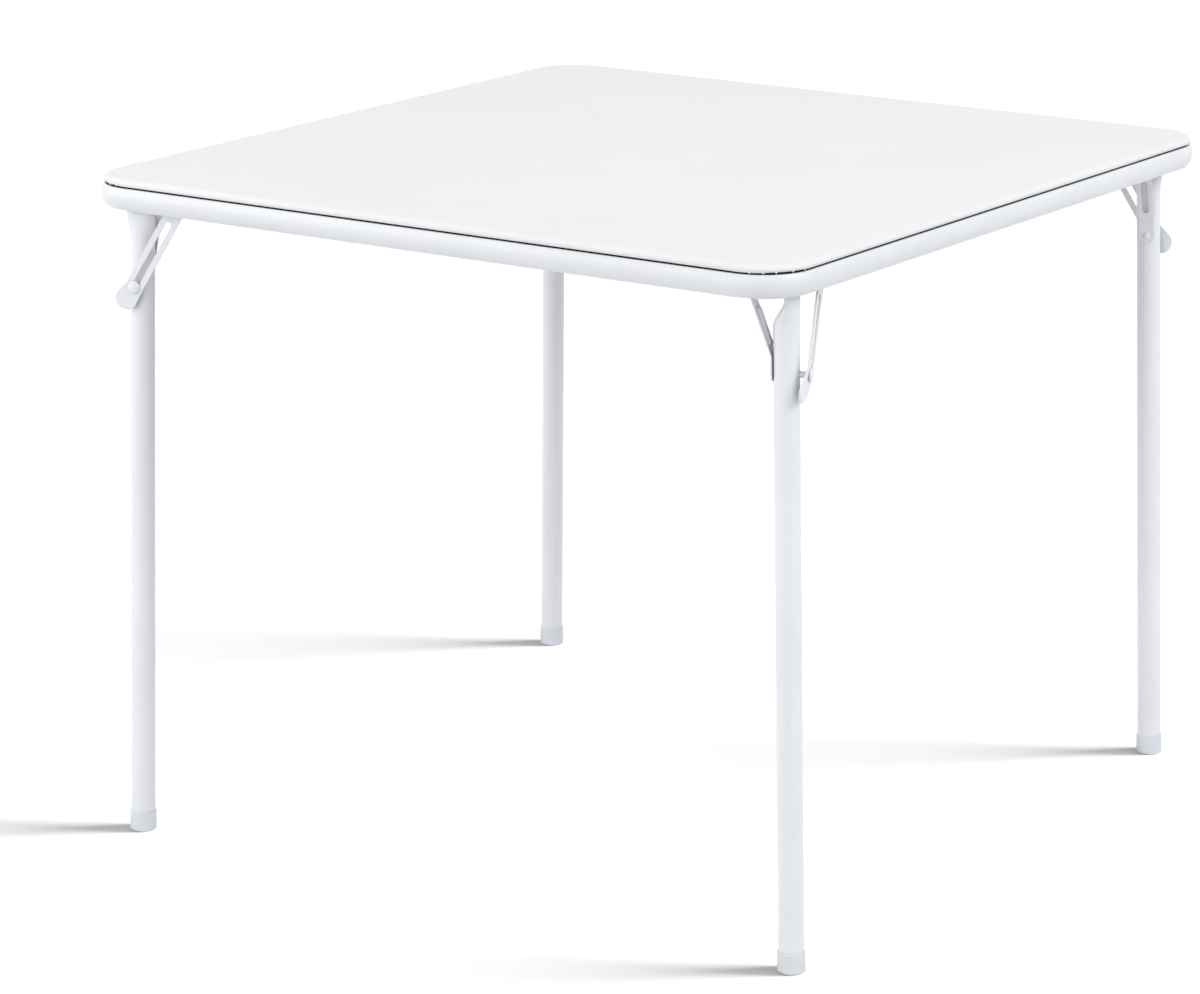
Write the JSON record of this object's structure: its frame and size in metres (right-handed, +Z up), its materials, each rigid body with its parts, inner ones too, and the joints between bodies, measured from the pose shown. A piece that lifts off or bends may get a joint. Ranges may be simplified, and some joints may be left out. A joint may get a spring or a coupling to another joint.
{
  "type": "folding card table",
  "caption": "Square folding card table with a padded top in a rolled steel rim, round legs that fold into the rim, and a slotted lock strap and a strut at each corner.",
  "frame": {"origin": "on the floor, under the middle of the square top, with the table standing on its feet", "axes": "+Z up, X and Y along the sides of the top, -Y towards the side named front"},
  "size_m": [0.8654, 0.8654, 0.711],
  "materials": {
    "white_steel": "white powder coat, semi-gloss",
    "white_vinyl": "soft matte vinyl with a fine grain",
    "hardboard": "smooth brown hardboard",
    "foam": "open-cell foam",
    "dark_edging": "matte black",
    "staple_wire": "zinc-plated",
    "screw_steel": "zinc-plated",
    "white_plastic": "satin white plastic"
  },
  "bodies": {
    "top": {"top_board": "hardboard", "foam_sheet": "foam", "vinyl_cover": "white_vinyl", "edge_strip": "dark_edging", "rim_frame": "white_steel", "cover_staples": "staple_wire", "long_bracket_screws": "screw_steel", "short_bracket_screws": "screw_steel", "frame_screws": "screw_steel", "front_left_hinge_bracket": "white_steel", "front_left_pivot_rod": "white_steel", "front_left_strap_rivet": "white_steel", "front_right_hinge_bracket": "white_steel", "front_right_pivot_rod": "white_steel", "front_right_strap_rivet": "white_steel", "back_right_hinge_bracket": "white_steel", "back_right_pivot_rod": "white_steel", "back_right_strap_rivet": "white_steel", "back_left_hinge_bracket": "white_steel", "back_left_pivot_rod": "white_steel", "back_left_strap_rivet": "white_steel"},
    "front_left_leg": {"front_left_leg_tube": "white_steel", "front_left_leg_strut": "white_steel", "front_left_leg_rivet": "white_steel", "front_left_foot_cap": "white_plastic", "front_left_pivot_washer": "white_plastic", "front_left_spacer_sleeve": "white_plastic"},
    "front_left_strap": {"front_left_lock_strap": "white_steel"},
    "front_left_stud": {"front_left_lock_stud": "white_steel"},
    "front_right_leg": {"front_right_leg_tube": "white_steel", "front_right_leg_strut": "white_steel", "front_right_leg_rivet": "white_steel", "front_right_foot_cap": "white_plastic", "front_right_pivot_washer": "white_plastic", "front_right_spacer_sleeve": "white_plastic"},
    "front_right_strap": {"front_right_lock_strap": "white_steel"},
    "front_right_stud": {"front_right_lock_stud": "white_steel"},
    "back_right_leg": {"back_right_leg_tube": "white_steel", "back_right_leg_strut": "white_steel", "back_right_leg_rivet": "white_steel", "back_right_foot_cap": "white_plastic", "back_right_pivot_washer": "white_plastic", "back_right_spacer_sleeve": "white_plastic"},
    "back_right_strap": {"back_right_lock_strap": "white_steel"},
    "back_right_stud": {"back_right_lock_stud": "white_steel"},
    "back_left_leg": {"back_left_leg_tube": "white_steel", "back_left_leg_strut": "white_steel", "back_left_leg_rivet": "white_steel", "back_left_foot_cap": "white_plastic", "back_left_pivot_washer": "white_plastic", "back_left_spacer_sleeve": "white_plastic"},
    "back_left_strap": {"back_left_lock_strap": "white_steel"},
    "back_left_stud": {"back_left_lock_stud": "white_steel"}
  },
  "joints": [
    {"name": "front_left_leg_fold", "type": "hinge", "parent": "top", "child": "front_left_leg", "pos_m": [-0.3734, -0.4002, 0.6831], "axis": [0.309, -0.9509, 0.0204], "range_deg": [0, 91.4]},
    {"name": "front_left_strap_turn", "type": "hinge", "parent": "top", "child": "front_left_strap", "pos_m": [-0.32728, -0.38519, 0.6844], "axis": [0.309, -0.9509, 0.0204], "range_deg": [0, 118.23]},
    {"name": "front_left_stud_slide", "type": "slide", "parent": "front_left_strap", "child": "front_left_stud", "axis": [0.4736, 0.1724, 0.8637], "range_m": [0, 0.06342]},
    {"name": "front_right_leg_fold", "type": "hinge", "parent": "top", "child": "front_right_leg", "pos_m": [0.4002, -0.3734, 0.6831], "axis": [0.9509, 0.309, 0.0204], "range_deg": [0, 91.4]},
    {"name": "front_right_strap_turn", "type": "hinge", "parent": "top", "child": "front_right_strap", "pos_m": [0.38519, -0.32728, 0.6844], "axis": [0.9509, 0.309, 0.0204], "range_deg": [0, 118.23]},
    {"name": "front_right_stud_slide", "type": "slide", "parent": "front_right_strap", "child": "front_right_stud", "axis": [-0.1724, 0.4736, 0.8637], "range_m": [0, 0.06342]},
    {"name": "back_right_leg_fold", "type": "hinge", "parent": "top", "child": "back_right_leg", "pos_m": [0.3734, 0.4002, 0.6831], "axis": [-0.309, 0.9509, 0.0204], "range_deg": [0, 91.4]},
    {"name": "back_right_strap_turn", "type": "hinge", "parent": "top", "child": "back_right_strap", "pos_m": [0.32728, 0.38519, 0.6844], "axis": [-0.309, 0.9509, 0.0204], "range_deg": [0, 118.23]},
    {"name": "back_right_stud_slide", "type": "slide", "parent": "back_right_strap", "child": "back_right_stud", "axis": [-0.4736, -0.1724, 0.8637], "range_m": [0, 0.06342]},
    {"name": "back_left_leg_fold", "type": "hinge", "parent": "top", "child": "back_left_leg", "pos_m": [-0.4002, 0.3734, 0.6831], "axis": [-0.9509, -0.309, 0.0204], "range_deg": [0, 91.4]},
    {"name": "back_left_strap_turn", "type": "hinge", "parent": "top", "child": "back_left_strap", "pos_m": [-0.38519, 0.32728, 0.6844], "axis": [-0.9509, -0.309, 0.0204], "range_deg": [0, 118.23]},
    {"name": "back_left_stud_slide", "type": "slide", "parent": "back_left_strap", "child": "back_left_stud", "axis": [0.1724, -0.4736, 0.8637], "range_m": [0, 0.06342]}
  ],
  "couplings": [
    {"joint": "front_left_strap_turn", "follows": "front_left_leg_fold", "ratio": 1.2935},
    {"joint": "front_left_stud_slide", "follows": "front_left_leg_fold", "m_per_rad": 0.039756},
    {"joint": "front_right_strap_turn", "follows": "front_right_leg_fold", "ratio": 1.2935},
    {"joint": "front_right_stud_slide", "follows": "front_right_leg_fold", "m_per_rad": 0.039756},
    {"joint": "back_right_strap_turn", "follows": "back_right_leg_fold", "ratio": 1.2935},
    {"joint": "back_right_stud_slide", "follows": "back_right_leg_fold", "m_per_rad": 0.039756},
    {"joint": "back_left_strap_turn", "follows": "back_left_leg_fold", "ratio": 1.2935},
    {"joint": "back_left_stud_slide", "follows": "back_left_leg_fold", "m_per_rad": 0.039756}
  ]
}
